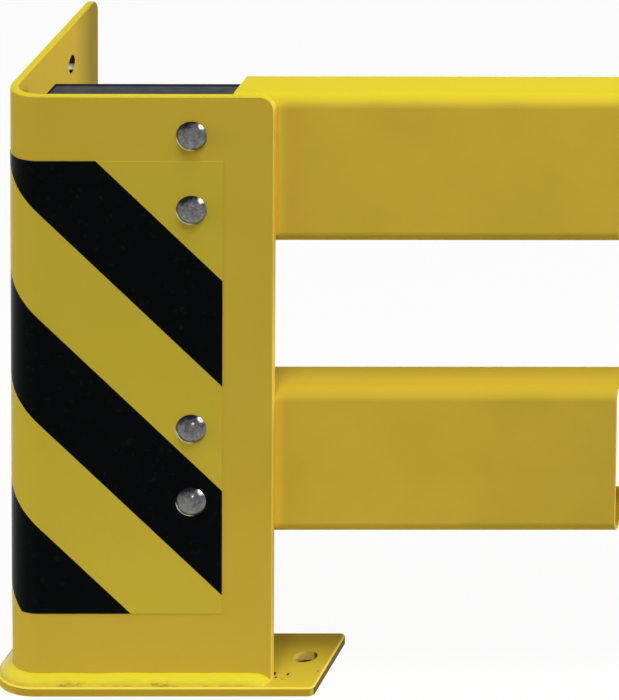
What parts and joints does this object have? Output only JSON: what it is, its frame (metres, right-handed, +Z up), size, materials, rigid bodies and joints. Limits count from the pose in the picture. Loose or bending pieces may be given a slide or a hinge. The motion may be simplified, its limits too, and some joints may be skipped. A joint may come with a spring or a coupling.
{
  "type": "corner protector",
  "caption": "Folded steel corner protector on a floor plate, with a striped warning film and bolted guard rails for a rack upright.",
  "frame": {"origin": "middle of the whole part's outline, at floor level", "axes": "+X along the guard rails, +Y from the front face back towards the rack, +Z up"},
  "size_m": [0.4034, 0.2134, 0.406],
  "materials": {
    "yellow_powder_coat": "semi-gloss yellow powder coat with faint orange peel",
    "dark_grey_coat": "satin dark grey coat",
    "yellow_film": "glossy yellow self-adhesive film",
    "black_film": "glossy black self-adhesive film",
    "zinc_plate": "bright zinc plating, slightly mottled"
  },
  "bodies": {
    "root": {"corner_angle": "yellow_powder_coat", "base_plate": "yellow_powder_coat", "foot_weld": "yellow_powder_coat", "upper_rail": "yellow_powder_coat", "lower_rail": "yellow_powder_coat", "upper_joiner": "dark_grey_coat", "lower_joiner": "dark_grey_coat", "upper_packing": "zinc_plate", "lower_packing": "zinc_plate", "warning_film": "yellow_film", "film_stripes": "black_film", "coach_bolt_1": "zinc_plate", "washer_1": "zinc_plate", "nut_1": "zinc_plate", "coach_bolt_2": "zinc_plate", "washer_2": "zinc_plate", "nut_2": "zinc_plate", "coach_bolt_3": "zinc_plate", "washer_3": "zinc_plate", "nut_3": "zinc_plate", "coach_bolt_4": "zinc_plate", "washer_4": "zinc_plate", "nut_4": "zinc_plate"}
  },
  "joints": []
}
